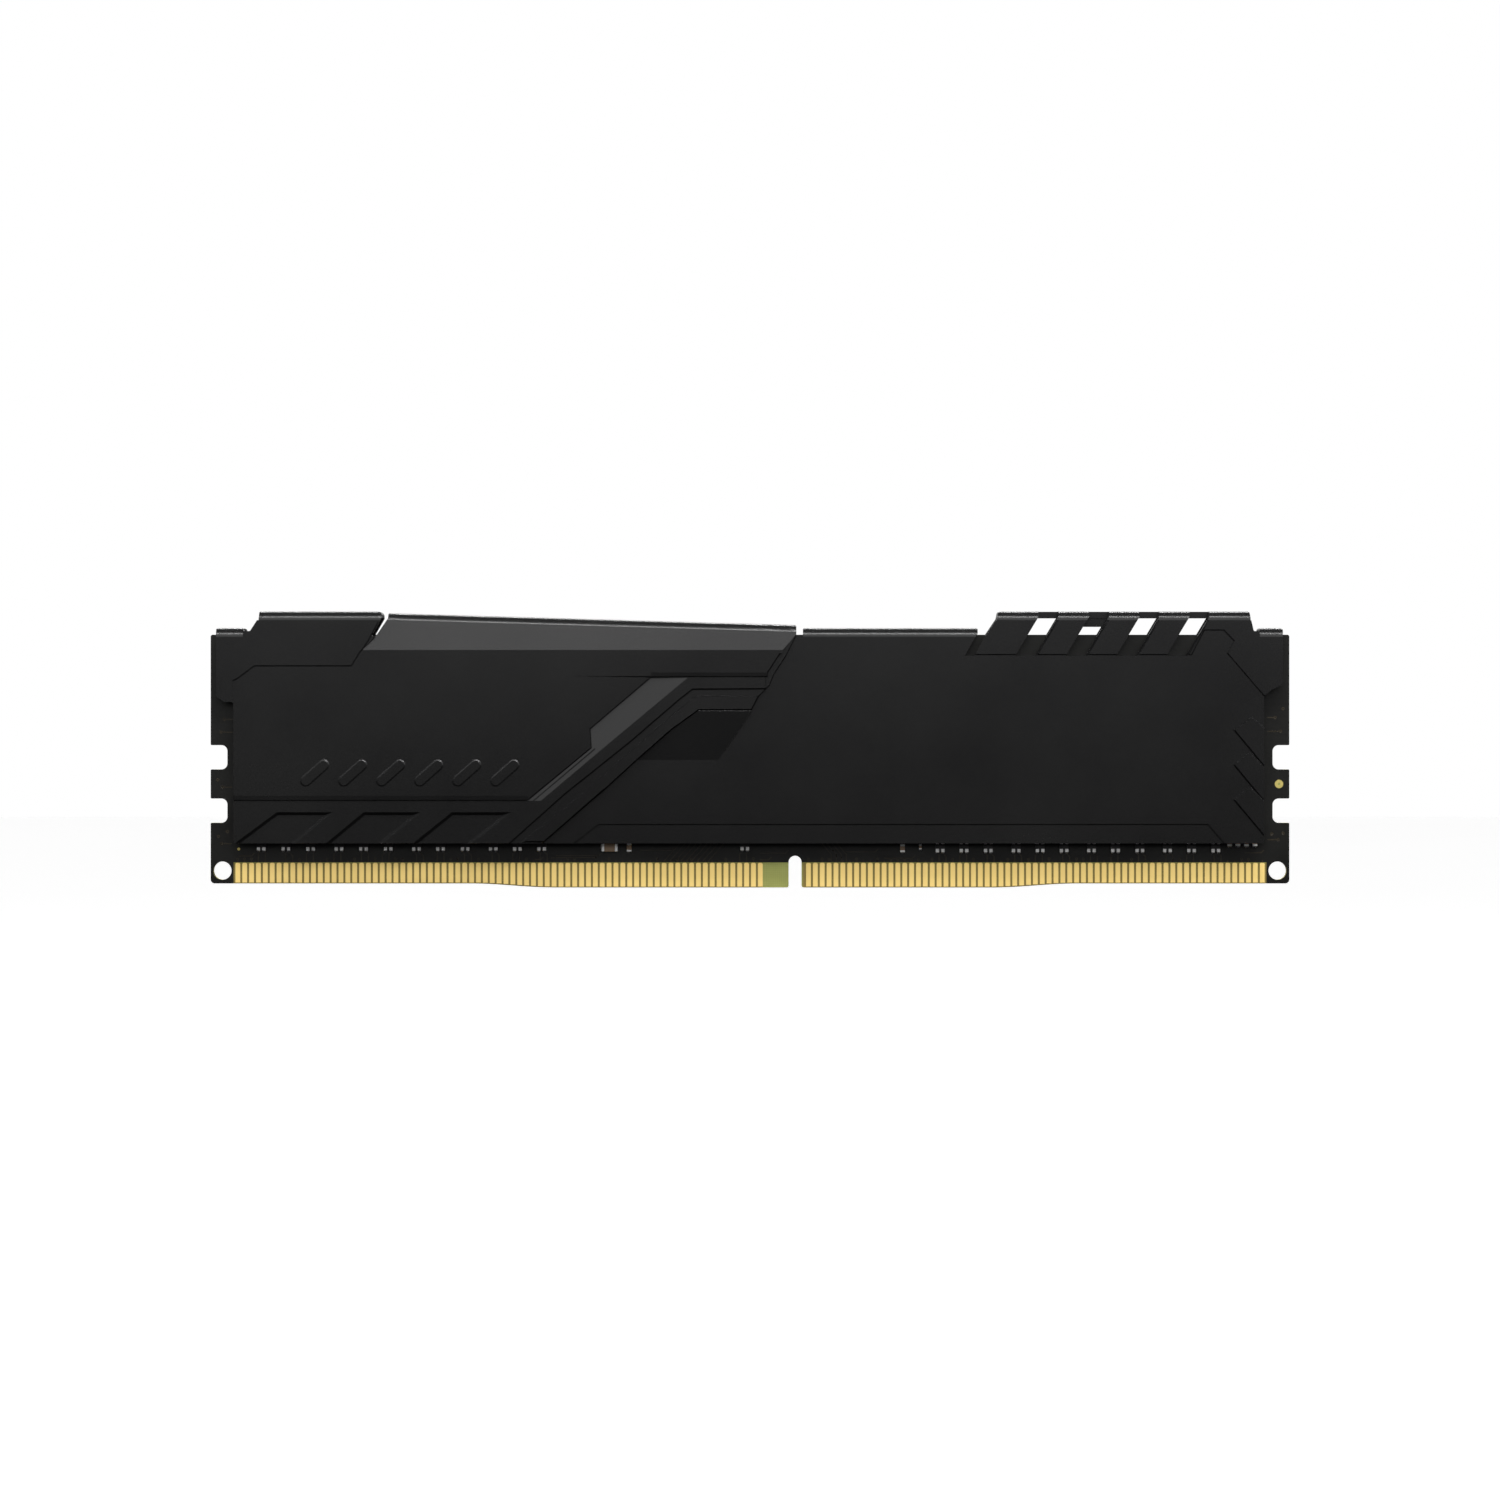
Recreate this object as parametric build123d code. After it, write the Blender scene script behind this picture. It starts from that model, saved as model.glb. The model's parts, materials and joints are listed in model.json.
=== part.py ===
from build123d import *
import math
import os

os.makedirs("parts", exist_ok=True)

# ---------------------------------------------------------------------------
# Desktop memory module, 288-contact card, with a two-plate heat spreader.
# X runs along the card, Z is up from the contact edge, -Y is the front.
# Origin: middle of the card's length, middle of its thickness, lowest point
# of the contact edge.
# ---------------------------------------------------------------------------

# --- circuit board ---------------------------------------------------------
BOARD_L = 133.35           # length
BOARD_H = 31.25            # height
BOARD_T = 1.40             # finished thickness at the contacts
MASK_T = 0.03              # solder mask film
CORE_HALF = BOARD_T / 2 - MASK_T
EDGE_STEP = 0.50           # the end zones of the contact edge sit this much higher
RAMP_L = (-34.425, -24.225)
RAMP_R = (30.175, 40.375)
NOTCH_Z = ((8.0, 11.0), (14.6, 17.6))
NOTCH_D = 2.07
NOTCH_R = 0.75
HOLE_R = 1.125             # corner tooling holes
HOLE_IN = 1.45             # hole centre from the end of the card
HOLE_Z = 2.09
KEY_X = 5.575              # key notch centre
KEY_W = 1.60
KEY_TOP = 3.92

# --- edge contacts ---------------------------------------------------------
PITCH = 0.85
CONTACT_W = 0.60
CONTACT_TOP = 3.05
CONTACT_T = 0.045
CONTACT_EDGE = 0.10
N_LEFT, N_ALL = 77, 144
MASK_Z = 3.12              # lower edge of the mask over the contact band
BAND_X = 63.85             # the contact band ends here

# --- packages --------------------------------------------------------------
DRAM_L, DRAM_H, DRAM_T = 7.50, 11.00, 0.80
DRAM_X = (-56.0, -43.2, -30.4, -17.6, 17.6, 30.4, 43.2, 56.0)
DRAM_Z = 14.60
BALL_R, BALL_P = 0.22, 0.80
STANDOFF = 0.30
PACK_LOW = BOARD_T / 2 + STANDOFF
PACK_TOP = PACK_LOW + DRAM_T

# --- heat spreader ---------------------------------------------------------
INNER = 2.25               # flat inner face, from the middle of the card
SHEET = 0.80               # sheet thickness at the folds
BEND_R = 1.10              # outside bend radius
TOP_HIGH = 34.10           # top of the two raised blocks
TOP_LOW = 32.05            # top of the flanges that rest on the card
PLATE_LOW = 5.48
FLANGE_GAP = 0.05          # each flange stops this far from the middle plane
# outer levels, from the middle of the card
L_FRAME = 3.60
L_PANEL = 3.52
L_BAND = 3.38
L_GROOVE = 3.24
L_RIB = 3.40
L_STRIP = 3.25
L_MAIN = 2.95
L_LOW = 2.87
L_RIGHT = 3.05
L_CHEVRON = 3.10
L_PARA = 3.13
FACET_Z = 29.33
FACET_TILT = 13.5          # degrees
ROLL = 0.03                # roll-off above the long horizontal steps
SLOT_ROLL = 0.30           # rolled edge on one side of each vent slot
TOUCH = 0.002              # gap left between a solder ball and its neighbours


# --- helpers ---------------------------------------------------------------
def face_plane(d, side=-1):
    # local x is X, local y is Z, local z points out of the card
    return Plane(origin=(0, side * d, 0), x_dir=(-side, 0, 0), z_dir=(0, side, 0))


def wire_at(pts, d):
    # closed wire of (x, z) points on the plane y = -d
    return Wire.make_polygon([Vector(x, -d, z) for x, z in pts], close=True)


def prism(pts, d0, d1):
    # straight prism of an XZ polygon, from depth d0 to depth d1 on the front
    face = Face(wire_at(pts, d0))
    return Solid.extrude(face, Vector(0, -(d1 - d0), 0))


def area(pts):
    return 0.5 * sum(a[0] * b[1] - b[0] * a[1] for a, b in zip(pts, pts[1:] + pts[:1]))


def grown(pts, g):
    # the polygon moved outwards by g, mitred
    if area(pts) < 0:
        pts = pts[::-1]
    n = len(pts)
    out = []
    for i in range(n):
        (x0, y0), (x1, y1), (x2, y2) = pts[i - 1], pts[i], pts[(i + 1) % n]
        a, b = math.hypot(x1 - x0, y1 - y0), math.hypot(x2 - x1, y2 - y1)
        n1 = ((y1 - y0) / a, -(x1 - x0) / a)
        n2 = ((y2 - y1) / b, -(x2 - x1) / b)
        k = g / (1 + n1[0] * n2[0] + n1[1] * n2[1])
        out.append((x1 + (n1[0] + n2[0]) * k, y1 + (n1[1] + n2[1]) * k))
    return out


def pocket(pts, level, draft=0.8, top=3.80):
    # cutter whose floor is the polygon at this level and whose walls lean out
    if area(pts) < 0:
        pts = pts[::-1]
    wide = grown(pts, (top - level) * draft)
    return Solid.make_loft([wire_at(pts, level), wire_at(wide, top)], ruled=True)


def boss(pts, low, level, draft=0.8):
    # raised pad whose walls lean in
    if area(pts) < 0:
        pts = pts[::-1]
    foot = grown(pts, (level - low) * draft)
    return Solid.make_loft([wire_at(foot, low), wire_at(pts, level)], ruled=True)


def rounded(pts):
    # face on y = 0 from (x, z, corner radius) points
    n = len(pts)
    edges = []
    ends = []
    for i in range(n):
        x0, z0, _ = pts[i - 1]
        x1, z1, r = pts[i]
        x2, z2, _ = pts[(i + 1) % n]
        p = Vector(x1, 0, z1)
        if r <= 0:
            ends.append((p, p, None))
            continue
        u = Vector(x0 - x1, 0, z0 - z1).normalized()
        v = Vector(x2 - x1, 0, z2 - z1).normalized()
        half = math.acos(max(-1, min(1, u.dot(v)))) / 2
        t = r / math.tan(half)
        m = (u + v).normalized()
        c = p + m * (r / math.sin(half))
        ends.append((p + u * t, p + v * t, c - m * r))
    for i in range(n):
        a, b, mid = ends[i]
        if mid is not None:
            edges.append(Edge.make_three_point_arc(a, mid, b))
        nxt = ends[(i + 1) % n][0]
        if (nxt - b).length > 1e-6:
            edges.append(Edge.make_line(b, nxt))
    return Face(Wire(edges))


def slab_y(face, y0, y1):
    # extrude a face drawn on y = 0 between two y values
    return Solid.extrude(face.moved(Location((0, y0, 0))), Vector(0, y1 - y0, 0))


def one(shape):
    # the single solid of a boolean result
    if isinstance(shape, Solid):
        return shape
    found = []
    for s in shape if isinstance(shape, (list, tuple)) else [shape]:
        found += list(s.solids())
    return max(found, key=lambda s: s.volume)


def write(name, shape):
    if isinstance(shape, (list, tuple)):
        shape = Compound(list(shape))
    shape.label = name
    export_step(shape, f"parts/{name}.step")


def edge_z(x):
    # height of the contact edge at x: low in the middle, smooth ramps
    def smooth(t):
        t = max(0.0, min(1.0, t))
        return t * t * (3 - 2 * t)

    if x < 0:
        return EDGE_STEP * (1 - smooth((x - RAMP_L[0]) / (RAMP_L[1] - RAMP_L[0])))
    return EDGE_STEP * smooth((x - RAMP_R[0]) / (RAMP_R[1] - RAMP_R[0]))


def mirrored(shape):
    # the rear counterpart of a front shape, or of a group of them
    if isinstance(shape, (list, tuple)):
        shape = Compound(shape)
    return shape.mirror(Plane.XZ)


# --- board outline ---------------------------------------------------------
HALF = BOARD_L / 2
ramp = 14
bottom = [(-HALF, EDGE_STEP, 0.5)]
for lo, hi in (RAMP_L, RAMP_R):
    for i in range(ramp + 1):
        x = lo + (hi - lo) * i / ramp
        bottom.append((x, edge_z(x), 0))
    if hi == RAMP_L[1]:
        k = KEY_W / 2
        bottom += [
            (KEY_X - k, 0, 0.25),
            (KEY_X - k, KEY_TOP, k * 0.999),
            (KEY_X + k, KEY_TOP, k * 0.999),
            (KEY_X + k, 0, 0.25),
        ]
bottom.append((HALF, EDGE_STEP, 0.5))
right = []
for z0, z1 in NOTCH_Z:
    right += [
        (HALF, z0, 0.15),
        (HALF - NOTCH_D, z0, NOTCH_R),
        (HALF - NOTCH_D, z1, NOTCH_R),
        (HALF, z1, 0.15),
    ]
left = [(-x, z, r) for x, z, r in reversed(right)]
outline = bottom + right + [(HALF, BOARD_H, 0.25), (-HALF, BOARD_H, 0.25)] + left
board_face = rounded(outline)

tool = [
    Solid.make_cylinder(
        HOLE_R, 6, Plane(origin=(s * (HALF - HOLE_IN), -3, HOLE_Z), z_dir=(0, 1, 0))
    )
    for s in (-1, 1)
]
board = slab_y(board_face, -CORE_HALF, CORE_HALF).cut(*tool)
write("circuit_board", board)

# --- solder mask: everything but the contact band --------------------------
band = Solid.make_box(
    2 * BAND_X, 4, MASK_Z + 1, Plane(origin=(-BAND_X, -2, -1), z_dir=(0, 0, 1))
)
PAD_X, PAD_Z, PAD_R = 65.40, 12.80, 0.52
DOT_X, DOT_Z, DOT_R = -63.20, 4.75, 0.18
pad_window = [
    Solid.make_cylinder(r, 6, Plane(origin=(x, -6, z), z_dir=(0, 1, 0)))
    for x, z, r in ((PAD_X, PAD_Z, PAD_R), (DOT_X, DOT_Z, DOT_R))
]
film = slab_y(board_face, -BOARD_T / 2, -CORE_HALF).cut(*tool, band)
mask_front = film.cut(*pad_window)
mask_rear = mirrored(film)
write("solder_mask_front", mask_front)
write("solder_mask_rear", mask_rear)

# --- edge contacts ---------------------------------------------------------
pins = [-63.325 + PITCH * i for i in range(N_LEFT)]
pins += [63.325 - PITCH * (N_ALL - 1 - i) for i in range(N_LEFT, N_ALL)]


def contact(x):
    w = CONTACT_W / 2
    lo = max(edge_z(x - w), edge_z(x + w)) + CONTACT_EDGE
    c = 0.12
    pts = [
        (x - w, lo),
        (x + w, lo),
        (x + w, CONTACT_TOP - c),
        (x + w - c, CONTACT_TOP),
        (x - w + c, CONTACT_TOP),
        (x - w, CONTACT_TOP - c),
    ]
    return prism(pts, CORE_HALF, CORE_HALF + CONTACT_T)


contacts = [contact(x) for x in pins]
write("edge_contacts_front", contacts)
write("edge_contacts_rear", mirrored(contacts))

# --- test pads -------------------------------------------------------------
pads = []
for x, z, r, bore in ((PAD_X, PAD_Z, PAD_R, 0.17), (DOT_X, DOT_Z, DOT_R, 0)):
    disc = Solid.make_cylinder(
        r, MASK_T + 0.01, Plane(origin=(x, -CORE_HALF, z), z_dir=(0, -1, 0))
    )
    if bore:
        disc = disc.cut(
            Solid.make_cylinder(
                bore, 1, Plane(origin=(x, -CORE_HALF + 0.1, z), z_dir=(0, -1, 0))
            )
        )
    pads.append(disc)
write("test_pads", pads)

SURF = BOARD_T / 2         # mask surface that the parts stand on


def block(x0, x1, z0, z1, d0, d1):
    return prism([(x0, z0), (x1, z0), (x1, z1), (x0, z1)], d0, d1)


# --- series resistor arrays: two resistors in one package ------------------
ARRAY_W, ARRAY_H, ARRAY_T = 1.16, 1.50, 0.35
TERM_W, TERM_H, TERM_X = 0.42, 0.46, 0.34     # terminal size and offset from the middle


def resistor_array(x, z, w=ARRAY_W, h=ARRAY_H, t=ARRAY_T):
    spots = [(x + sx * TERM_X, z + sz * (h / 2 - TERM_H / 2)) for sx in (-1, 1) for sz in (-1, 1)]

    def at(c, top, low):
        return block(c[0] - TERM_W / 2, c[0] + TERM_W / 2, c[1] - TERM_H / 2, c[1] + TERM_H / 2, low, top)

    ends = [at(c, SURF + t, SURF) for c in spots]
    core = block(x - w / 2, x + w / 2, z - h / 2 + 0.06, z + h / 2 - 0.06, SURF, SURF + t - 0.02)
    # keep the body clear of its own terminals
    return core.cut(*[at(c, SURF + 1, SURF - 1) for c in spots]), ends


ROW_L = [-60.41, -57.37, -54.31, -50.80, -47.77, -44.71, -41.23, -38.25, -35.20, -31.74, -28.75, -25.76]
ROW_R = [23.50, 26.45, 29.45, 32.90, 35.85, 38.82, 42.20, 45.18, 48.18, 51.60, 54.57, 57.57]
ARRAY_Z_L, ARRAY_Z_R, ARRAY_Z_M = 5.30, 5.09, 5.32
bodies, ends = [], []
for x, z in [(x, ARRAY_Z_L) for x in ROW_L] + [(x, ARRAY_Z_R) for x in ROW_R] + [(-0.65, ARRAY_Z_M)]:
    b, e = resistor_array(x, z)
    bodies.append(b)
    ends += e
write("resistor_arrays_front", bodies)
write("resistor_terminals_front", ends)
write("resistor_arrays_rear", mirrored(bodies))
write("resistor_terminals_rear", mirrored(ends))


# --- ceramic chip capacitors ----------------------------------------------
def chip(x, z, l, w, t, upright=True, cap=0.22):
    # l along the current path, w across, t tall
    if upright:
        body = block(x - w / 2, x + w / 2, z - l / 2 + cap, z + l / 2 - cap, SURF, SURF + t)
        e = [
            block(x - w / 2, x + w / 2, z - l / 2, z - l / 2 + cap, SURF, SURF + t + 0.01),
            block(x - w / 2, x + w / 2, z + l / 2 - cap, z + l / 2, SURF, SURF + t + 0.01),
        ]
    else:
        body = block(x - l / 2 + cap, x + l / 2 - cap, z - w / 2, z + w / 2, SURF, SURF + t)
        e = [
            block(x - l / 2, x - l / 2 + cap, z - w / 2, z + w / 2, SURF, SURF + t + 0.01),
            block(x + l / 2 - cap, x + l / 2, z - w / 2, z + w / 2, SURF, SURF + t + 0.01),
        ]
    return body, e


caps = [
    (-17.35, 4.95, 2.00, 1.00, 0.55, False, 0.35),
    (-14.95, 4.95, 1.00, 0.60, 0.45, True, 0.22),
    (18.85, 4.85, 1.00, 0.60, 0.45, True, 0.25),
    (21.06, 5.02, 0.60, 0.35, 0.30, True, 0.15),
    (59.28, 5.62, 1.00, 0.60, 0.45, True, 0.25),
    (60.31, 5.62, 1.00, 0.60, 0.45, True, 0.25),
    (61.35, 5.62, 1.00, 0.60, 0.45, True, 0.25),
    (62.39, 5.62, 1.00, 0.60, 0.45, True, 0.25),
]
hidden = []
for x in DRAM_X:
    for dx in (-2.4, -0.8, 0.8, 2.4):
        hidden.append((x + dx, 21.6, 1.00, 0.50, 0.50, True, 0.22))
for a, b in zip(DRAM_X, DRAM_X[1:]):
    if b - a < 20:
        for z in (11.4, 14.6, 17.8):
            hidden.append(((a + b) / 2, z, 1.00, 0.50, 0.50, True, 0.22))
for x in (-9.0, -6.0, 6.0, 9.0):
    hidden.append((x, 12.0, 1.60, 0.80, 0.80, True, 0.35))
    hidden.append((x, 18.0, 1.60, 0.80, 0.80, True, 0.35))


def chips(rows):
    made = [chip(*r) for r in rows]
    return [m[0] for m in made], [e for m in made for e in m[1]]


cap_b, cap_e = chips(caps + hidden)
write("capacitors_front", cap_b)
write("capacitor_terminals_front", cap_e)
cap_b, cap_e = chips(hidden)
write("capacitors_rear", mirrored(cap_b))
write("capacitor_terminals_rear", mirrored(cap_e))

# --- memory packages and their solder balls --------------------------------
for i, x in enumerate(DRAM_X, 1):
    body = block(
        x - DRAM_L / 2, x + DRAM_L / 2, DRAM_Z - DRAM_H / 2, DRAM_Z + DRAM_H / 2, PACK_LOW, PACK_TOP
    )
    mark = Solid.make_cylinder(
        0.30, 0.05, Plane(origin=(x - DRAM_L / 2 + 0.8, -PACK_TOP, DRAM_Z + DRAM_H / 2 - 0.8), z_dir=(0, 1, 0))
    )
    body = body.cut(mark)
    write(f"memory_chip_front_{i}", body)
    write(f"memory_chip_rear_{i}", mirrored(body))

balls = []
for x in DRAM_X:
    for c in (-4, -3, -2, 2, 3, 4):
        for r in range(-6, 7):
            balls.append(
                Solid.make_cylinder(
                    BALL_R,
                    STANDOFF - 2 * TOUCH,
                    Plane(origin=(x + c * BALL_P, -SURF - TOUCH, DRAM_Z + r * BALL_P), z_dir=(0, -1, 0)),
                )
            )
write("solder_balls_front", balls)
write("solder_balls_rear", mirrored(balls))

# --- serial presence detect chip -------------------------------------------
SPD_X, SPD_Z = 0.0, 15.0
spd = block(SPD_X - 1.0, SPD_X + 1.0, SPD_Z - 1.5, SPD_Z + 1.5, SURF + 0.03, SURF + 0.58)
leads = []
for s in (-1, 1):
    for k in (-0.75, -0.25, 0.25, 0.75):
        leads.append(
            block(SPD_X + k - 0.12, SPD_X + k + 0.12, SPD_Z + s * 1.35 - 0.2, SPD_Z + s * 1.35 + 0.2, SURF, SURF + 0.03)
        )
write("spd_memory_chip", spd)
write("spd_chip_leads", leads)

# --- thermal pads ----------------------------------------------------------
pad = block(-61.0, 61.0, DRAM_Z - 5.75, DRAM_Z + 5.75, PACK_TOP, INNER)
write("thermal_pad_front", pad)
write("thermal_pad_rear", mirrored(pad))

# ---------------------------------------------------------------------------
# Heat spreader plate, drawn for the front.
# ---------------------------------------------------------------------------
PLATE = [
    (-63.68, PLATE_LOW, 0.30), (-63.68, 22.92, 0.30), (-64.86, 22.92, 0.40), (-65.80, 23.66, 0.40),
    (-65.80, TOP_LOW, 0.20), (-62.50, TOP_LOW, 0.15), (-62.40, 31.66, 0.12), (-61.62, 31.66, 0.20),
    (-60.52, 33.35, 0.30), (-60.48, TOP_HIGH, 0.20), (-45.42, TOP_HIGH, 0.45), (-45.38, 33.30, 0.25),
    (-46.66, 31.05, 0.14), (-46.12, 31.05, 0.14), (-44.66, 33.25, 0.20), (-44.60, 33.90, 0.10),
    (5.71, 32.43, 0.12), (5.71, 31.05, 0.20), (6.57, 31.05, 0.20), (6.57, TOP_LOW, 0.10),
    (28.08, TOP_LOW, 0.12), (28.08, 31.05, 0.20), (29.00, 31.05, 0.20), (30.48, 33.25, 0.30),
    (30.62, TOP_HIGH, 0.25), (61.60, TOP_HIGH, 0.25), (61.70, 33.45, 0.20), (62.12, 31.66, 0.20),
    (62.80, 31.66, 0.12), (62.90, TOP_LOW, 0.15), (65.72, TOP_LOW, 0.30), (65.72, 25.10, 0.40),
    (64.32, 24.40, 0.40), (63.40, 23.66, 0.30), (63.40, PLATE_LOW, 0.30),
]
plate = slab_y(rounded(PLATE), -L_FRAME, -INNER)

# the sheet stops at the foot of each fold; the folds are added below
R1_X, R3_X, R4_X = (-60.48, -45.38), (6.57, 28.08), (30.00, 61.72)
TAB_L, TAB_R = (-66.5, -62.48), (62.82, 66.5)
bend_high, bend_low = TOP_HIGH - BEND_R, TOP_LOW - BEND_R


def box_cut(x0, x1, z0, z1=36.0):
    return Solid.make_box(x1 - x0, 6, z1 - z0, Plane(origin=(x0, -6, z0), z_dir=(0, 0, 1)))


clear = [
    box_cut(-60.9, -45.0, bend_high),
    box_cut(*R3_X, bend_low),
    box_cut(29.9, 61.9, bend_high),
    box_cut(*TAB_L, bend_low),
    box_cut(*TAB_R, bend_low),
    # everything above the ridge of the long facet
    prism([(-47.73, FACET_Z), (4.04, FACET_Z), (5.73, 31.30), (6.0, 36), (-44.6, 36), (-44.6, 33.6),
           (-46.20, 31.05)], 0, 6),
]
plate = one(plate.cut(*clear))

# --- relief, from the outside in -------------------------------------------
AX = -70.0                 # beyond the left end
BX = 70.0                  # beyond the right end
panel = [
    (-47.73, 29.33), (-47.97, 29.08), (-49.08, 27.29), (-61.04, 27.29), (-63.13, 25.75), (-63.63, 25.50),
    (-63.63, 10.78), (-63.63, 4.0), (70.0, 4.0), (70.0, 36.0), (-44.0, 36.0), (-47.0, 30.4),
]
reliefs = [
    # long left panel, set in from the frame
    pocket(panel, L_PANEL, 1.9),
    # roll-off above the two long horizontal steps
    Solid.extrude(
        Face(Wire.make_polygon([Vector(-64.5, -L_PANEL, 11.35), Vector(-64.5, -L_PANEL + ROLL, 10.74),
                                Vector(-64.5, -4.2, 10.74), Vector(-64.5, -4.2, 11.35)], close=True)),
        Vector(64.5 - 27.34, 0, 0)),
    Solid.extrude(
        Face(Wire.make_polygon([Vector(-12.2, -L_PANEL, 26.55), Vector(-12.2, -L_PANEL + ROLL, 25.96),
                                Vector(-12.2, -4.2, 25.96), Vector(-12.2, -4.2, 26.55)], close=True)),
        Vector(12.2 + 2.20, 0, 0)),
    # band and low left field
    pocket([(-12.35, 26.00), (2.20, 26.00), (2.6, 24.46), (2.6, 4.0), (AX, 4.0), (AX, 10.74),
            (-27.39, 10.74), (-25.78, 10.74), (-18.51, 16.88), (-7.67, 25.90)], L_BAND, 0.8),
    # groove under the band
    pocket([(1.95, 24.46), (-7.05, 24.40), (-8.65, 23.16), (-14.81, 17.86), (-17.28, 15.89), (-22.83, 11.45),
            (-29.60, 5.40), (-29.0, 4.0), (-25.0, 4.0), (-21.22, 10.0), (-8.0, 21.3), (1.95, 21.3)], L_GROOVE, 1.3),
    # step strip right of the panel
    pocket([(4.04, 29.33), (5.80, 31.40), (5.80, 36), (8, 36), (8, 24.46), (1.95, 24.46), (1.95, 26.00),
            (2.20, 26.00), (2.20, 26.49)], L_STRIP, 0.5),
]
for c in reliefs:
    plate = one(plate.cut(c))

# rib between the groove and the main field
rib = [(1.09, 23.59), (-6.56, 23.59), (-8.28, 22.30), (-21.22, 11.08), (-27.78, PLATE_LOW + 0.3),
       (-24.9, PLATE_LOW + 0.3), (-6.31, 21.50), (0.0, 21.50)]
plate = one(plate.fuse(boss(rib, 2.60, L_RIB, 0.10)))
plate = one(plate.fuse(boss(rib, 3.18, L_RIB, 1.1)))

main = [
    (7.0, 36.0), (5.80, 31.30), (4.54, 28.71), (2.93, 26.24), (2.44, 25.01), (1.95, 24.46), (1.09, 23.59),
    (0.22, 21.87), (-6.31, 21.87), (-7.42, 21.07), (-9.64, 19.47), (-13.58, 16.01), (-17.90, 12.07),
    (-25.75, 5.30), (-25.75, 4.0), (BX, 4.0), (BX, 23.66), (63.33, 23.66), (58.77, 28.96), (59.63, 30.44),
    (58.40, 31.73), (56.06, 31.73), (54.50, 28.70), (26.55, 28.70), (28.00, 31.00), (28.05, 36.0),
]
right = [
    (26.55, 28.70), (54.50, 28.70), (56.06, 31.73), (58.40, 31.73), (59.63, 30.44), (58.77, 28.96),
    (63.33, 23.66), (BX, 23.66), (BX, 36.0), (28.05, 36.0), (28.00, 31.00),
]
facet3 = [(-6.31, 21.87), (0.22, 21.87), (-3.84, 15.77), (-13.84, 15.77), (-9.64, 19.47), (-7.42, 21.07)]

keep3 = prism(facet3, 2.5, 3.35)
drop = 3.35 - L_MAIN
slope3 = Solid.extrude(
    Face(Wire.make_polygon([Vector(-20, -3.35, 21.87), Vector(-20, -L_MAIN, 15.77), Vector(-20, -4.5, 15.77),
                            Vector(-20, -4.5, 21.87)], close=True)), Vector(30, 0, 0))
keep3 = one(keep3.cut(slope3))
plate = one(plate.cut(pocket(right, L_RIGHT, 0.5)))
plate = one(plate.cut(pocket(main, L_MAIN, 0.35)))
plate = one(plate.cut(
    pocket([(12.0, 10.0), (BX, 10.0), (BX, 23.66), (63.33, 23.66), (58.77, 28.96), (59.63, 30.44), (58.40, 31.73),
            (56.06, 31.73), (54.50, 28.70), (26.55, 28.70), (27.40, 30.05), (12.0, 30.05)], L_MAIN, 1.3)))
plate = one(plate.fuse(keep3))

# low strip along the foot of the main field
plate = one(plate.cut(
    pocket([(-21.60, PLATE_LOW), (-18.64, 7.76), (56.43, 7.76), (58.40, PLATE_LOW), (58.40, 4.0), (-21.60, 4.0)],
           L_LOW, 1.5)))

# bright facet beside the panel: falls away up and to the left
f2 = [(-12.35, 25.94), (-7.67, 25.90), (-18.51, 16.88), (-25.78, 10.74), (-27.39, 10.74), (-19.50, 17.25),
      (-19.68, 19.71)]
f2_prism = prism(f2, 2.4, 4.2)
ux, uz = 49 / 75.9, -58 / 75.9          # across the facet, in (x, -z) terms
run = Vector(-0.646, 0, 0.763)          # unit direction up and to the left, across the facet
tilt2 = 0.12                            # fall per millimetre
ridge = Vector(-18.51, -L_BAND, 16.88)
along = Vector(0.763, 0, 0.646)
fall = Vector(run.X, tilt2, run.Z)      # y grows (towards the card) going up-left
n2 = along.cross(fall).normalized()
if n2.Y > 0:
    n2 = n2 * -1
plane2 = Plane(origin=ridge, x_dir=along, z_dir=n2)
over2 = Solid.make_box(60, 60, 4, Plane(origin=plane2.from_local_coords((-30, -30, 0)), x_dir=along, z_dir=n2))
before = plate.volume
plate = one(plate.cut(one(f2_prism.intersect(over2))))
assert before - plate.volume > 5, "the bright facet was not cut"
plate = one(plate.cut(pocket([(-19.68, 19.60), (-19.50, 17.25), (-27.39, 10.74), (-26.60, 10.74), (-19.10, 17.05),
                          (-19.20, 19.60)], 3.30, 0.6)))

# three recessed parallelograms open at the foot
for x0, x1, x2, x3 in ((-62.90, -58.20, -52.41, -56.60), (-51.70, -47.48, -41.56, -45.90), (-40.95, -36.63, -30.47, -34.90)):
    dz = 8.96 - PLATE_LOW
    plate = one(plate.cut(
        pocket([(x0, PLATE_LOW), (x1, 8.96), (x2, 8.96), (x3, PLATE_LOW), (x3 - 0.6, 4.9), (x0 - 0.6, 4.9)], L_PARA, 1.5)))

# six raised pills
for k in range(6):
    cx, cz = -53.64 + 4.684 * k, 14.165
    ang = math.atan2(15.15 - 13.18, -52.53 + 54.75)
    L, R = 1.48, 0.54
    pts = []
    for s, base in ((1, ang - math.pi / 2), (-1, ang + math.pi / 2)):
        for i in range(9):
            t = base + math.pi * i / 8
            pts.append((cx + s * L * math.cos(ang) + R * math.cos(t), cz + s * L * math.sin(ang) + R * math.sin(t)))
    plate = one(plate.fuse(boss(pts, L_PANEL - 0.05, L_FRAME, 2.0)))

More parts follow.
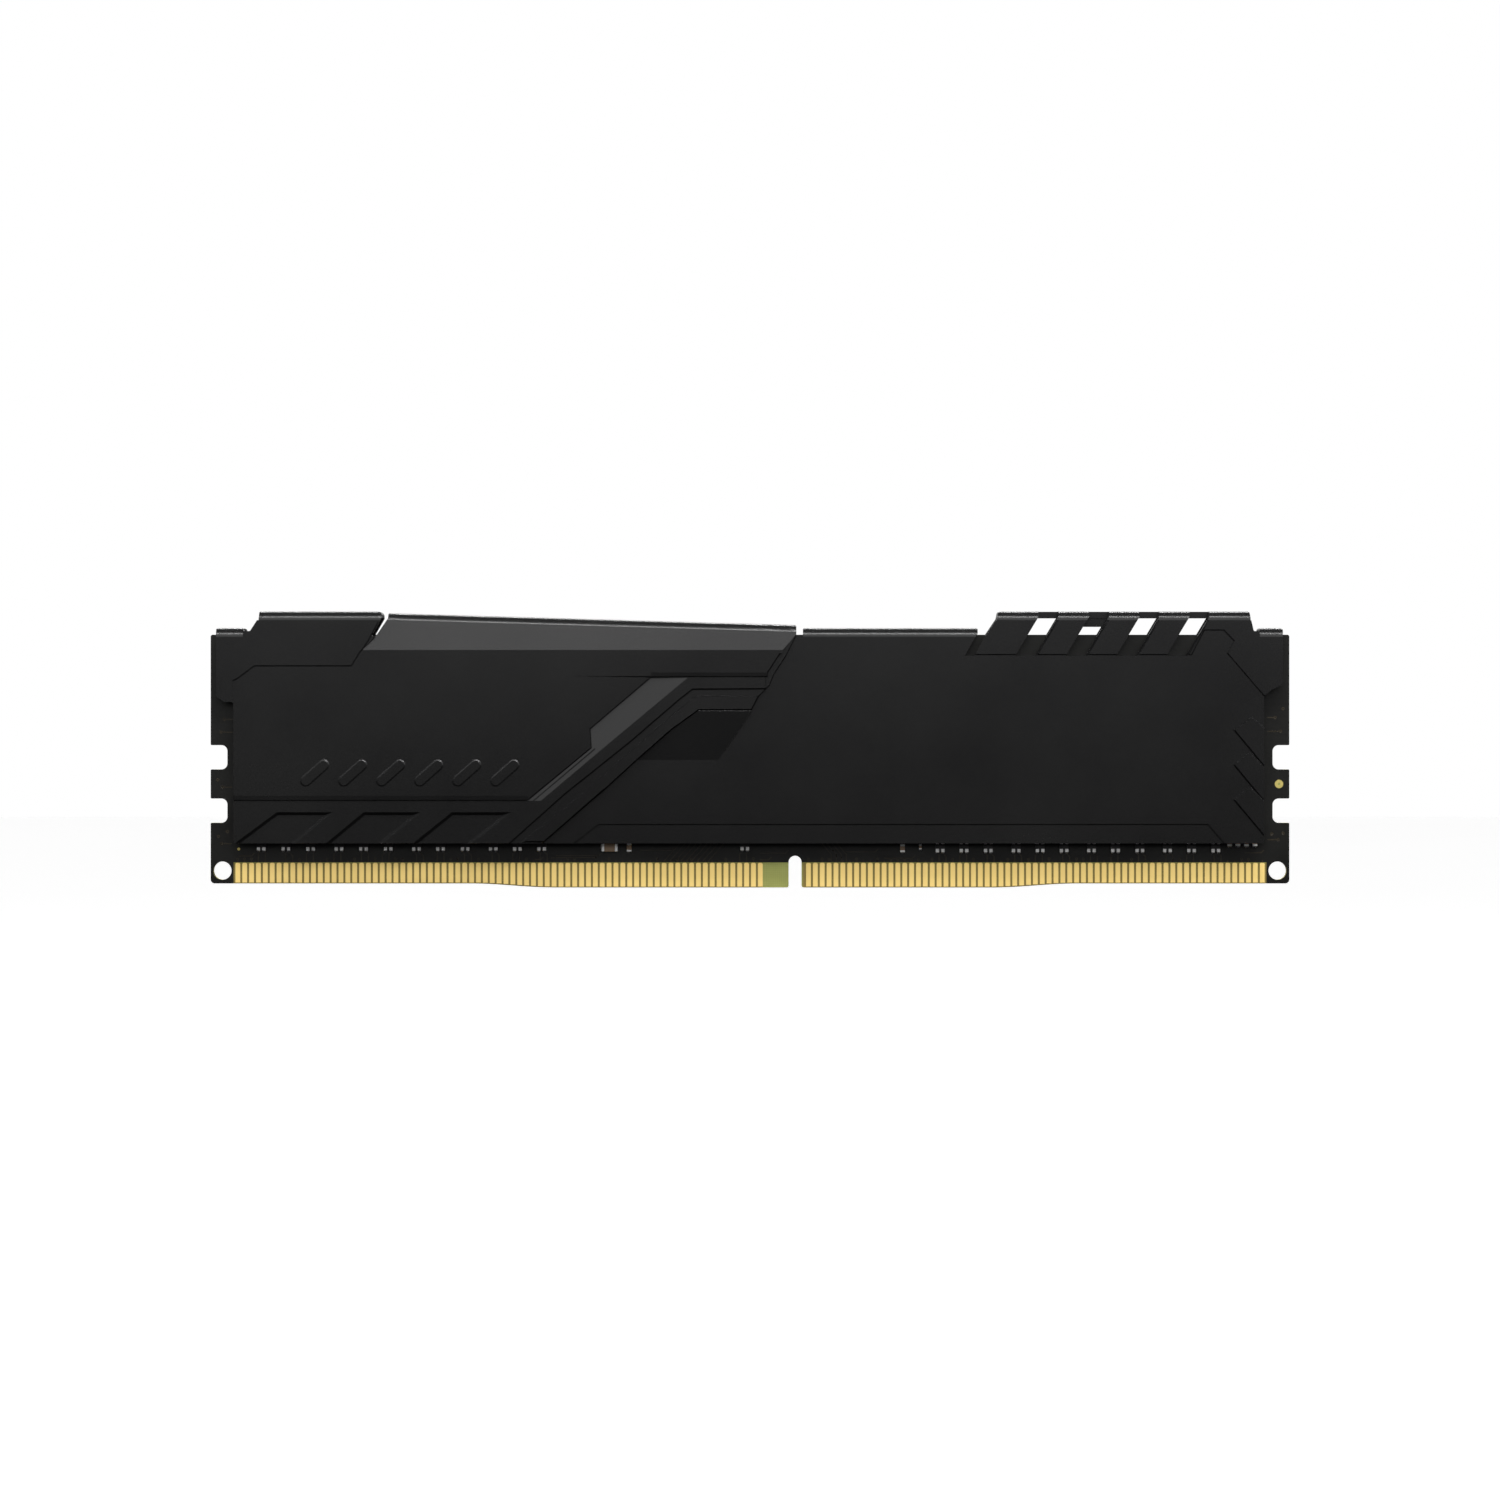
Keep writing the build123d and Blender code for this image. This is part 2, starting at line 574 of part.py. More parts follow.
# three chevrons along the right edge
for pts in (
    [(59.82, 19.47), (61.85, 20.94), (63.40, 19.65), (63.40, 15.15)],
    [(59.82, 15.15), (61.61, 16.63), (63.40, 14.75), (63.40, 10.84)],
    [(59.82, 10.84), (61.61, 12.32), (63.40, 10.65), (63.40, 6.60)],
):
    b = boss(pts, L_MAIN - 0.05, L_CHEVRON, 1.2)
    b = b.cut(Solid.make_box(5, 8, 40, Plane(origin=(63.40, -6, 0), z_dir=(0, 0, 1))))
    plate = one(plate.fuse(b))


# --- folded top flanges ----------------------------------------------------
def fold(x0, x1, outer, top, low, close=True):
    # sheet that rises from low, bends over at the outside radius and runs in to the middle
    r, t = BEND_R, SHEET
    c = math.sqrt(0.5)
    yo, zi = -outer, top
    cy, cz = -(outer - r), top - r
    ri = r - t
    e = [
        Edge.make_line((x0, yo, low), (x0, yo, cz)),
        Edge.make_three_point_arc((x0, yo, cz), (x0, cy - r * c, cz + r * c), (x0, cy, zi)),
        Edge.make_line((x0, cy, zi), (x0, -FLANGE_GAP, zi)),
        Edge.make_line((x0, -FLANGE_GAP, zi), (x0, -FLANGE_GAP, zi - t)),
        Edge.make_line((x0, -FLANGE_GAP, zi - t), (x0, cy, zi - t)),
        Edge.make_three_point_arc((x0, cy, zi - t), (x0, cy - ri * c, cz + ri * c), (x0, cy - ri, cz)),
        Edge.make_line((x0, cy - ri, cz), (x0, cy - ri, low)),
        Edge.make_line((x0, cy - ri, low), (x0, yo, low)),
    ]
    return Solid.extrude(Face(Wire(e)), Vector(x1 - x0, 0, 0))


folds = [
    fold(-65.80, -62.50, L_FRAME, TOP_LOW, bend_low - 0.5),
    fold(-60.55, -45.38, L_FRAME, TOP_HIGH, bend_high - 0.2),
    fold(*R3_X, L_MAIN, TOP_LOW, bend_low - 0.5),
    fold(30.30, 61.72, L_RIGHT, TOP_HIGH, bend_high - 0.2),
    fold(62.84, 65.72, L_RIGHT, TOP_LOW, bend_low - 0.5),
]

# long facet with its own fold: the sheet leans in, then bends over
th = math.radians(FACET_TILT)
xs, xe = -48.5, 6.5
z_left, z_right = 33.90, 32.43
slope = (z_right - z_left) / (5.71 + 44.60)
top_s = z_left + slope * (xs + 44.60)
r, t = BEND_R, SHEET
# the outer face of the lean: y = -(L_PANEL - tan(th) * (z - FACET_Z)); the fold's centre is r inside it
cz = top_s - r
nx_y, nx_z = -math.cos(th), math.sin(th)    # outward normal of the lean
# a point on the lean whose normal line passes through the centre
ty = None
zt = cz + r * nx_z
yt = -(L_PANEL - math.tan(th) * (zt - FACET_Z))
cy = yt - r * nx_y
ri = r - t
mid = ((-math.cos(th) + 0) , (math.sin(th) + 1))
ml = math.hypot(*mid)
my, mz = mid[0] / ml, mid[1] / ml
yi_ridge = -(L_PANEL - t / math.cos(th))
e = [
    Edge.make_line((xs, -L_PANEL, FACET_Z - 0.6), (xs, -L_PANEL, FACET_Z)),
    Edge.make_line((xs, -L_PANEL, FACET_Z), (xs, yt, zt)),
    Edge.make_three_point_arc((xs, yt, zt), (xs, cy + r * my, cz + r * mz), (xs, cy, cz + r)),
    Edge.make_line((xs, cy, cz + r), (xs, 1.0, cz + r)),
    Edge.make_line((xs, 1.0, cz + r), (xs, 1.0, cz + ri)),
    Edge.make_line((xs, 1.0, cz + ri), (xs, cy, cz + ri)),
    Edge.make_three_point_arc((xs, cy, cz + ri), (xs, cy + ri * my, cz + ri * mz), (xs, cy + ri * nx_y, cz + ri * nx_z)),
]
yb = cy + ri * nx_y
zb = cz + ri * nx_z
# follow the inner face of the lean down to the ridge height
yk = yb + math.tan(th) * (zb - FACET_Z) * -1
e += [
    Edge.make_line((xs, yb, zb), (xs, yk, FACET_Z)),
    Edge.make_line((xs, yk, FACET_Z), (xs, yk, FACET_Z - 0.6)),
    Edge.make_line((xs, yk, FACET_Z - 0.6), (xs, -L_PANEL, FACET_Z - 0.6)),
]
dz = slope * (xe - xs)
dy = math.tan(th) * dz                      # stays on the leaning plane
lean = Solid.extrude(Face(Wire(e)), Vector(xe - xs, dy, dz))
lean_trim = prism([(-47.73, FACET_Z - 0.4), (-47.73, FACET_Z), (-46.20, 31.20), (-44.64, 33.30), (-44.60, 36),
                   (5.71, 36), (5.71, 31.30), (4.04, FACET_Z), (4.04, FACET_Z - 0.4)], FLANGE_GAP, 4)
lean = one(lean.intersect(lean_trim))
# nothing of the lean stands out of the panel below the ridge
lean = one(lean.cut(
    Solid.make_box(120, 3, 5, Plane(origin=(-60, -L_PANEL - 3, FACET_Z - 5), z_dir=(0, 0, 1)))))
folds.append(lean)
for f in folds:
    plate = one(plate.fuse(f))
plate = one(plate.intersect(slab_y(rounded(PLATE), -4, 0)))


# --- vent slots ------------------------------------------------------------
def slot(x_top, w, z0=28.62, z1=36.0, d0=0.0):
    lean_x = 0.598
    za = 33.76
    xl = lambda z: x_top + lean_x * (z - za)
    return [(xl(z0), z0), (xl(z0) + w, z0), (xl(z1) + w, z1), (xl(z1), z1)]


SLOTS = (35.78, 42.01, 48.23, 54.40)
SLOT_W = 2.44


def straight_top(x, w, zb, zt, d0, d1):
    # leaning up to the fold, then square through it
    za = 33.45
    s = slot(x, w)
    a, b = s[0], s[1]
    dx = 0.598 * (za - 33.76)
    return prism([a, b, (x + w + dx, za), (x + w + dx, zt), (x + dx, zt), (x + dx, za)], d0, d1)


def slot_roll(x, w, g=SLOT_ROLL, z1=33.0):
    # wedge that takes the right-hand corner off a slot's outer edge
    a, b = slot(x, w, z1=z1)[1:3]
    deep, high = L_RIGHT - g, L_RIGHT + 0.1
    k = g + 0.1
    low = [(a[0] - 0.2, a[1]), a, b, (b[0] - 0.2, b[1])]
    top = [(a[0] - 0.2, a[1]), (a[0] + k, a[1]), (b[0] + k, b[1]), (b[0] - 0.2, b[1])]
    return Solid.make_loft([wire_at(low, deep), wire_at(top, high)], ruled=True)


rolls = [slot_roll(x, SLOT_W) for x in SLOTS]
for r in rolls:
    plate = one(plate.cut(r))

front = plate
for x in SLOTS:
    front = one(front.cut(straight_top(x, SLOT_W, 28.62, 36.0, -0.5, 5)))
half_slot = prism([(28.02, 31.30), (29.02, 31.30), (27.71, 28.62), (26.48, 28.62)], 1.0, 5)
front = one(front.cut(half_slot))

rear = plate
for x in SLOTS:
    s = slot(x, SLOT_W)
    za = 33.42
    dx = 0.598 * (za - 33.76)
    rear = one(rear.cut(prism([s[0], s[1], (x + SLOT_W + dx, za), (x + dx, za)], 1.0, 5)))
rear = one(rear.cut(half_slot))
rear = mirrored(rear)

# hooked tongue of the rear plate, under the second slot
tongue = Solid.make_box(3.15, 0.50, 0.80, Plane(origin=(41.10, FLANGE_GAP + 0.10, 32.75), z_dir=(0, 0, 1)))
lip = Solid.make_box(3.15, 1.10, 0.60, Plane(origin=(41.10, FLANGE_GAP - 0.50, 32.24), z_dir=(0, 0, 1)))
rear = one(rear.fuse(tongue, lip))

write("heat_spreader_front", front)
write("heat_spreader_rear", rear)
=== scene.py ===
import json
import math
import random

import bmesh
import bpy
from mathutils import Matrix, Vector


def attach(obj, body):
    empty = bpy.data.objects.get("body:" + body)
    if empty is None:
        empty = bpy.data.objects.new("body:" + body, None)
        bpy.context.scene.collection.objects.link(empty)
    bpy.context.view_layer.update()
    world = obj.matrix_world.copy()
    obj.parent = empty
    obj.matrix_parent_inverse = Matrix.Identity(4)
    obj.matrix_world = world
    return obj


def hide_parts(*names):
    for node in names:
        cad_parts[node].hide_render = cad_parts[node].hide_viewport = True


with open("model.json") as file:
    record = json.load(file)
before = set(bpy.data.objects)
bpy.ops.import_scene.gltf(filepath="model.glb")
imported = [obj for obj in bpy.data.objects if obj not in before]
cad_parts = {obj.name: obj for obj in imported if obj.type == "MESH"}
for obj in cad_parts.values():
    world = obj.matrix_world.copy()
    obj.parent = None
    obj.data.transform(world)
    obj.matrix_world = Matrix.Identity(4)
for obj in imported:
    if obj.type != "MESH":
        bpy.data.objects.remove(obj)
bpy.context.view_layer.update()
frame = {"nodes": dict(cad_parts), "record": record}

MM = 0.001
nodes = frame["nodes"]
rnd = random.Random(7)


# ---------------------------------------------------------------------------
# node-tree helpers
# ---------------------------------------------------------------------------
class Tree:
    def __init__(self, name):
        self.mat = bpy.data.materials.new(name)
        self.mat.use_nodes = True
        self.nt = self.mat.node_tree
        self.nt.nodes.clear()
        self.out = self.add("ShaderNodeOutputMaterial")
        self.p = self.add("ShaderNodeBsdfPrincipled")
        self.link(self.p.outputs["BSDF"], self.out.inputs["Surface"])
        self.geo = self.add("ShaderNodeNewGeometry")
        self.tex = self.add("ShaderNodeTexCoord")

    def add(self, kind, **props):
        n = self.nt.nodes.new(kind)
        for k, v in props.items():
            setattr(n, k, v)
        return n

    def link(self, a, b):
        self.nt.links.new(a, b)

    def pos(self, scale=(1, 1, 1)):
        m = self.add("ShaderNodeMapping")
        m.inputs["Scale"].default_value = scale
        self.link(self.tex.outputs["Object"], m.inputs["Vector"])
        return m.outputs["Vector"]

    def noise(self, scale, detail=3.0, rough=0.55, vec=None):
        n = self.add("ShaderNodeTexNoise")
        n.inputs["Scale"].default_value = scale
        n.inputs["Detail"].default_value = detail
        n.inputs["Roughness"].default_value = rough
        self.link(vec if vec is not None else self.tex.outputs["Object"], n.inputs["Vector"])
        return n.outputs["Fac"]

    def voronoi(self, scale, vec=None, feature="F1"):
        n = self.add("ShaderNodeTexVoronoi", feature=feature)
        n.inputs["Scale"].default_value = scale
        self.link(vec if vec is not None else self.tex.outputs["Object"], n.inputs["Vector"])
        return n.outputs["Distance"]

    def ramp(self, fac, stops):
        n = self.add("ShaderNodeValToRGB")
        e = n.color_ramp.elements
        while len(e) > 1:
            e.remove(e[-1])
        first = True
        for pos, col in stops:
            if isinstance(col, (int, float)):
                col = (col, col, col)
            el = e[0] if first else e.new(pos)
            el.position = pos
            el.color = (*col, 1)
            first = False
        self.link(fac, n.inputs["Fac"])
        return n.outputs["Color"]

    def math(self, op, a, b=None, clamp=False):
        n = self.add("ShaderNodeMath", operation=op, use_clamp=clamp)
        for i, v in enumerate((a, b)):
            if v is None:
                continue
            if isinstance(v, (int, float)):
                n.inputs[i].default_value = v
            else:
                self.link(v, n.inputs[i])
        return n.outputs[0]

    def range(self, v, a, b, c, d):
        n = self.add("ShaderNodeMapRange")
        self.link(v, n.inputs["Value"])
        for k, x in zip(("From Min", "From Max", "To Min", "To Max"), (a, b, c, d)):
            n.inputs[k].default_value = x
        return n.outputs["Result"]

    def mix(self, fac, a, b):
        n = self.add("ShaderNodeMix", data_type="RGBA")
        f, ca, cb = n.inputs[0], n.inputs[6], n.inputs[7]
        for sock, v in ((f, fac), (ca, a), (cb, b)):
            if isinstance(v, (int, float)):
                sock.default_value = v
            elif isinstance(v, tuple):
                sock.default_value = (*v, 1)
            else:
                self.link(v, sock)
        return n.outputs[2]

    def bump(self, height, distance, strength=1.0):
        n = self.add("ShaderNodeBump")
        n.inputs["Strength"].default_value = strength
        n.inputs["Distance"].default_value = distance
        self.link(height, n.inputs["Height"])
        self.link(n.outputs["Normal"], self.p.inputs["Normal"])
        return n

    def set(self, **kw):
        for k, v in kw.items():
            sock = self.p.inputs[k.replace("_", " ")]
            if isinstance(v, (int, float)):
                sock.default_value = v
            elif isinstance(v, tuple):
                sock.default_value = (*v, 1) if len(v) == 3 else v
            else:
                self.link(v, sock)


def edge_wear(t, radius=0.00035):
    # 0 on flat areas, towards 1 on convex edges
    bev = t.add("ShaderNodeBevel", samples=4)
    bev.inputs["Radius"].default_value = radius
    dot = t.add("ShaderNodeVectorMath", operation="DOT_PRODUCT")
    t.link(bev.outputs["Normal"], dot.inputs[0])
    t.link(t.geo.outputs["Normal"], dot.inputs[1])
    return t.range(dot.outputs["Value"], 1.0, 0.80, 0.0, 1.0)


# --- satin black coat on the stamped sheet ---------------------------------
def coat(name, dark, light, rough):
    t = Tree(name)
    cloud = t.noise(45, 4, 0.6)
    grain = t.noise(5200, 2, 0.6)
    pores = t.voronoi(3400)
    col = t.mix(t.range(cloud, 0.35, 0.65, 0, 1), dark, light)
    col = t.mix(t.range(pores, 0.0, 0.16, 0.0, 1.0), tuple(c * 1.35 for c in light), col)
    r = t.math("ADD", t.range(cloud, 0.3, 0.7, rough - 0.02, rough + 0.02), t.range(grain, 0.3, 0.7, -0.015, 0.015))
    t.set(Base_Color=col, Roughness=r, Metallic=0.0, IOR=1.5)
    t.bump(t.math("ADD", t.math("MULTIPLY", grain, 0.6), t.math("MULTIPLY", pores, 0.4)), 0.0000022, 0.3)
    return t.mat


def mask_material():
    t = Tree("black_solder_mask")
    weave = t.add("ShaderNodeTexWave", wave_type="BANDS", bands_direction="X")
    weave.inputs["Scale"].default_value = 420
    weave.inputs["Distortion"].default_value = 0.6
    t.link(t.tex.outputs["Object"], weave.inputs["Vector"])
    weave2 = t.add("ShaderNodeTexWave", wave_type="BANDS", bands_direction="Z")
    weave2.inputs["Scale"].default_value = 420
    weave2.inputs["Distortion"].default_value = 0.6
    t.link(t.tex.outputs["Object"], weave2.inputs["Vector"])
    cloth = t.math("MULTIPLY", weave.outputs["Fac"], weave2.outputs["Fac"])
    cloud = t.noise(160, 3)
    col = t.mix(t.range(cloud, 0.35, 0.65, 0, 1), (0.0026, 0.0026, 0.0023), (0.0040, 0.0040, 0.0035))
    t.set(Base_Color=col, Roughness=t.range(cloud, 0.3, 0.7, 0.28, 0.34), IOR=1.45)
    t.bump(t.math("ADD", t.math("MULTIPLY", cloth, 0.5), t.noise(1400, 2)), 0.000006, 0.4)
    return t.mat


def covered_copper_material():
    t = Tree("mask_over_copper")
    c = t.noise(700, 3)
    col = t.mix(t.range(c, 0.35, 0.65, 0, 1), (0.0110, 0.0085, 0.0050), (0.0180, 0.0140, 0.0080))
    t.set(Base_Color=col, Roughness=t.range(c, 0.3, 0.7, 0.26, 0.34), IOR=1.5)
    t.bump(t.noise(1400, 2), 0.000005, 0.4)
    return t.mat


GAP = (0.150, 0.112, 0.028)


def laminate_material():
    t = Tree("glass_epoxy_laminate")
    # woven glass under resin on the faces, stacked plies on the cut edges
    sep = t.add("ShaderNodeSeparateXYZ")
    t.link(t.tex.outputs["Object"], sep.inputs[0])
    wx = t.math("SINE", t.math("MULTIPLY", sep.outputs["X"], 2 * math.pi / 0.00052))
    wz = t.math("SINE", t.math("MULTIPLY", sep.outputs["Z"], 2 * math.pi / 0.00047))
    weave = t.math("MULTIPLY", t.math("ABSOLUTE", wx), t.math("ABSOLUTE", wz))
    face = t.mix(t.range(weave, 0.0, 1.0, 0, 1), (0.198, 0.210, 0.055), (0.251, 0.266, 0.077))
    face = t.mix(t.range(t.noise(300, 3), 0.35, 0.7, 0, 0.5), face, (0.163, 0.172, 0.044))
    # browner where the contacts shade it, but not in the bare patch beside the key
    beside = t.math("MAXIMUM", t.range(sep.outputs["X"], 0.00155, 0.00165, 1, 0), t.range(sep.outputs["X"], 0.0064, 0.0066, 0, 1))
    low = t.range(sep.outputs["Z"], 0.0030, 0.0031, 1, 0)
    face = t.mix(t.math("MULTIPLY", beside, low), face, GAP)
    ply = t.math("SINE", t.math("MULTIPLY", sep.outputs["Y"], 2 * math.pi / 0.00023))
    edge = t.mix(t.range(ply, -1, 1, 0, 1), (0.16, 0.15, 0.055), (0.26, 0.24, 0.11))
    fray = t.noise(2600, 3)
    edge = t.mix(t.range(fray, 0.45, 0.75, 0, 0.7), edge, (0.36, 0.34, 0.20))
    ny = t.add("ShaderNodeSeparateXYZ")
    t.link(t.geo.outputs["Normal"], ny.inputs[0])
    side = t.range(t.math("ABSOLUTE", ny.outputs["Y"]), 0.3, 0.8, 1, 0)
    col = t.mix(side, face, edge)
    t.set(Base_Color=col, Roughness=t.range(side, 0, 1, 0.42, 0.72), IOR=1.5)
    t.bump(t.math("ADD", t.math("MULTIPLY", weave, 0.5), t.math("MULTIPLY", fray, 0.6)), 0.00001, 0.5)
    return t.mat


def gold_material():
    t = Tree("hard_gold")
    brush = t.noise(700, 2, 0.5, t.pos((1.0, 1, 0.15)))
    cloud = t.noise(160, 3)
    col = t.mix(t.range(cloud, 0.3, 0.7, 0, 1), (0.90, 0.665, 0.228), (0.96, 0.712, 0.253))
    col = t.mix(t.range(brush, 0.5, 0.75, 0, 0.25), col, (0.80, 0.57, 0.18))
    t.set(Base_Color=col, Metallic=0.55, Roughness=t.range(brush, 0.3, 0.7, 0.40, 0.46))
    t.bump(brush, 0.000001, 0.2)
    return t.mat


def pad_gold_material():
    # thin immersion gold on the round test pads, duller than the contacts
    t = Tree("immersion_gold")
    c = t.noise(1500, 3)
    col = t.mix(t.range(c, 0.3, 0.7, 0, 1), (0.36, 0.300, 0.090), (0.44, 0.365, 0.115))
    t.set(Base_Color=col, Metallic=0.45, Roughness=t.range(c, 0.3, 0.7, 0.42, 0.52))
    t.bump(c, 0.000003, 0.3)
    return t.mat


def tin_material():
    t = Tree("matt_tin")
    c = t.noise(2600, 3)
    col = t.mix(t.range(c, 0.3, 0.7, 0, 1), (0.80, 0.80, 0.79), (0.92, 0.92, 0.92))
    t.set(Base_Color=col, Metallic=0.5, Roughness=t.range(c, 0.3, 0.7, 0.35, 0.5))
    t.bump(c, 0.00002, 0.5)
    return t.mat


def solder_material():
    t = Tree("reflowed_solder")
    c = t.noise(3600, 2)
    col = t.mix(t.range(c, 0.3, 0.7, 0, 1), (0.42, 0.42, 0.43), (0.58, 0.58, 0.60))
    t.set(Base_Color=col, Metallic=0.9, Roughness=t.range(c, 0.3, 0.7, 0.22, 0.36))
    return t.mat


def ceramic_material(name, a, b, rough):
    t = Tree(name)
    c = t.noise(1900, 4)
    col = t.mix(t.range(c, 0.35, 0.65, 0, 1), a, b)
    t.set(Base_Color=col, Roughness=t.range(c, 0.3, 0.7, rough - 0.05, rough + 0.05))
    t.bump(t.noise(7000, 2), 0.000005, 0.5)
    return t.mat


def mould_material():
    t = Tree("epoxy_moulding")
    c = t.noise(9000, 2)
    cloud = t.noise(200, 3)
    col = t.mix(t.range(cloud, 0.35, 0.65, 0, 1), (0.013, 0.013, 0.014), (0.019, 0.019, 0.020))
    t.set(Base_Color=col, Roughness=t.range(c, 0.3, 0.7, 0.52, 0.62))
    t.bump(c, 0.000012, 0.6)
    return t.mat


def pad_material():
    t = Tree("silicone_thermal_pad")
    c = t.noise(1200, 4)
    col = t.mix(t.range(c, 0.35, 0.65, 0, 1), (0.26, 0.29, 0.34), (0.33, 0.36, 0.41))
    t.set(Base_Color=col, Roughness=0.82)
    t.bump(t.noise(3000, 3), 0.00003, 0.6)
    return t.mat


MATS = {
    "spreader_coating": coat("satin_black_coat", (0.0026, 0.0026, 0.0027), (0.0033, 0.0033, 0.0033), 0.24),
    # lighter coat for the bevels on the sheet's convex outline edges: partly a rubbed edge, partly a painted highlight
    # line
    "spreader_edge_wear_and_painted_highlight": coat("satin_black_coat_rubbed_edge_painted_highlight", (0.007, 0.007, 0.007), (0.010, 0.010, 0.010), 0.27),
    "solder_mask": mask_material(),
    "board_laminate": laminate_material(),
    "gold_plating": gold_material(),
    "tin_plating": tin_material(),
    "solder": solder_material(),
    "resistor_body": ceramic_material("resistor_glaze", (0.010, 0.010, 0.011), (0.018, 0.018, 0.019), 0.35),
    "capacitor_ceramic": ceramic_material("capacitor_ceramic_tan", (0.24, 0.16, 0.10), (0.33, 0.23, 0.15), 0.55),
    "mould_compound": mould_material(),
    "thermal_pad": pad_material(),
}
MATS["covered_copper"] = covered_copper_material()
PAD_GOLD = pad_gold_material()
slot_of = {s["node"]: s["material_slot"] for s in frame["record"]["subparts"]}
for name, ob in nodes.items():
    ob.data.materials.clear()
    ob.data.materials.append(PAD_GOLD if name == "test_pads" else MATS[slot_of[name]])


# ---------------------------------------------------------------------------
# edge rounding on the CAD nodes
# ---------------------------------------------------------------------------
def soften(ob, width, segments=2, angle=25):
    w = ob.modifiers.new("weld", "WELD")
    w.merge_threshold = 2e-6
    b = ob.modifiers.new("bevel", "BEVEL")
    b.width = width
    b.segments = segments
    b.limit_method = "ANGLE"
    b.angle_limit = math.radians(angle)
    b.harden_normals = True
    b.use_clamp_overlap = True


for name, ob in nodes.items():
    if name.startswith("edge_contacts"):
        soften(ob, 0.00002, 1, 40)
    elif name.startswith(("resistor", "capacitor")):
        soften(ob, 0.00005, 2, 40)
    elif name.startswith(("memory_chip", "spd_memory")):
        soften(ob, 0.00006, 2, 40)
    elif name.startswith("circuit_board"):
        soften(ob, 0.00003, 1, 40)


# ---------------------------------------------------------------------------
# the pressed sheets, remeshed with rounded outer edges
# ---------------------------------------------------------------------------
def pressed_sheet(node, piece):
    me = nodes[node].data
    normals = [c.vector.copy() for c in me.corner_normals]
    bm = bmesh.new()
    at, where = {}, []
    for v in me.vertices:
        k = tuple(round(c * 1e7) for c in v.co)
        if k not in at:
            at[k] = bm.verts.new(v.co)
        where.append(at[k])
    sides = {}
    for p in me.polygons:
        loop = list(p.loop_indices)
        vs = [where[me.loops[i].vertex_index] for i in loop]
        if len(set(vs)) != len(vs):
            continue
        f = bm.faces.new(vs)
        for i, (va, vb) in enumerate(zip(vs, vs[1:] + vs[:1])):
            na, nb = normals[loop[i]], normals[loop[(i + 1) % len(loop)]]
            sides.setdefault(frozenset((va, vb)), []).append((f, {va: na, vb: nb}))
    bm.normal_update()
    bm.verts.index_update()
    flat = []
    for e in bm.edges:
        pair = sides.get(frozenset(e.verts), [])
        e.smooth = True
        if len(pair) != 2 or len(e.link_faces) != 2:
            continue
        turn = e.link_faces[0].normal.angle(e.link_faces[1].normal, 0.0)
        step = max(pair[0][1][v].angle(pair[1][1][v], 0.0) for v in e.verts)
        if turn < math.radians(0.15) and step < math.radians(1.0):
            flat.append(e)
        elif step >= math.radians(1.0):
            e.smooth = False
    bmesh.ops.dissolve_limit(bm, angle_limit=math.radians(0.15), use_dissolve_boundaries=False,
                             verts=[], edges=flat, delimit={"SHARP"})
    weight = bm.edges.layers.float.new("bevel_weight_edge")
    for e in bm.edges:
        if e.smooth or len(e.link_faces) != 2 or not e.is_convex:
            continue
        turn = e.calc_face_angle(0.0)
        if turn < math.radians(65) or max(v.co.z for v in e.verts) > FOLD_Z * MM:
            continue
        room = 1.0
        for f in e.link_faces:
            for g in f.edges:
                if g is not e and (g.verts[0] in e.verts or g.verts[1] in e.verts):
                    room = min(room, g.calc_length() / MM)
        if room > 0.3:
            e[weight] = 1.0
    bmesh.ops.recalc_face_normals(bm, faces=bm.faces)
    out = bpy.data.meshes.new(piece)
    bm.to_mesh(out)
    bm.free()
    ob = bpy.data.objects.new(piece, out)
    bpy.context.scene.collection.objects.link(ob)
    out.materials.append(MATS["spreader_coating"])
    out.materials.append(MATS["spreader_edge_wear_and_painted_highlight"])
    for p in out.polygons:
        p.use_smooth = True
    b = ob.modifiers.new("bevel", "BEVEL")
    b.width = EDGE_R * MM
    b.segments = 2
    b.limit_method = "WEIGHT"
    b.harden_normals = True
    b.use_clamp_overlap = False
    b.loop_slide = False
    # the bevel faces take the lighter edge coat, a painted highlight along the outline edges
    b.material = 1
    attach(ob, "root")
    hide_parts(node)
    return ob


EDGE_R = 0.06
FOLD_Z = 30.8
sheets = [pressed_sheet("heat_spreader_" + s, "spreader_sheet_" + s) for s in ("front", "rear")]


# ---------------------------------------------------------------------------
# raised copper under the mask: traces and via rings in the open strips
# ---------------------------------------------------------------------------
def ribbon(bm, pts, w, side, d0, h):
    # a flat-topped ridge that follows a polyline of (x, z) points in mm
    n = len(pts)
    rows = []
    for i, (x, z) in enumerate(pts):
        if i == 0:
            tx, tz = pts[1][0] - x, pts[1][1] - z
        elif i == n - 1:
            tx, tz = x - pts[-2][0], z - pts[-2][1]
        else:
            ax, az = x - pts[i - 1][0], z - pts[i - 1][1]
            bx, bz = pts[i + 1][0] - x, pts[i + 1][1] - z
            la, lb = math.hypot(ax, az), math.hypot(bx, bz)
            tx, tz = ax / la + bx / lb, az / la + bz / lb
        k = math.hypot(tx, tz)
        nx, nz = -tz / k, tx / k
        row = []
        for off, hh in ((-w / 2 - h, 0.0), (-w / 2, h), (w / 2, h), (w / 2 + h, 0.0)):
            row.append(bm.verts.new(((x + nx * off) * MM, side * (d0 + hh) * MM, (z + nz * off) * MM)))
        # closed underside
        rows.append(row)
    for a, b in zip(rows, rows[1:]):
        for i in range(4):
            j = (i + 1) % 4
            bm.faces.new((a[i], a[j], b[j], b[i]))
    bm.faces.new(rows[0][::-1])
    bm.faces.new(rows[-1])


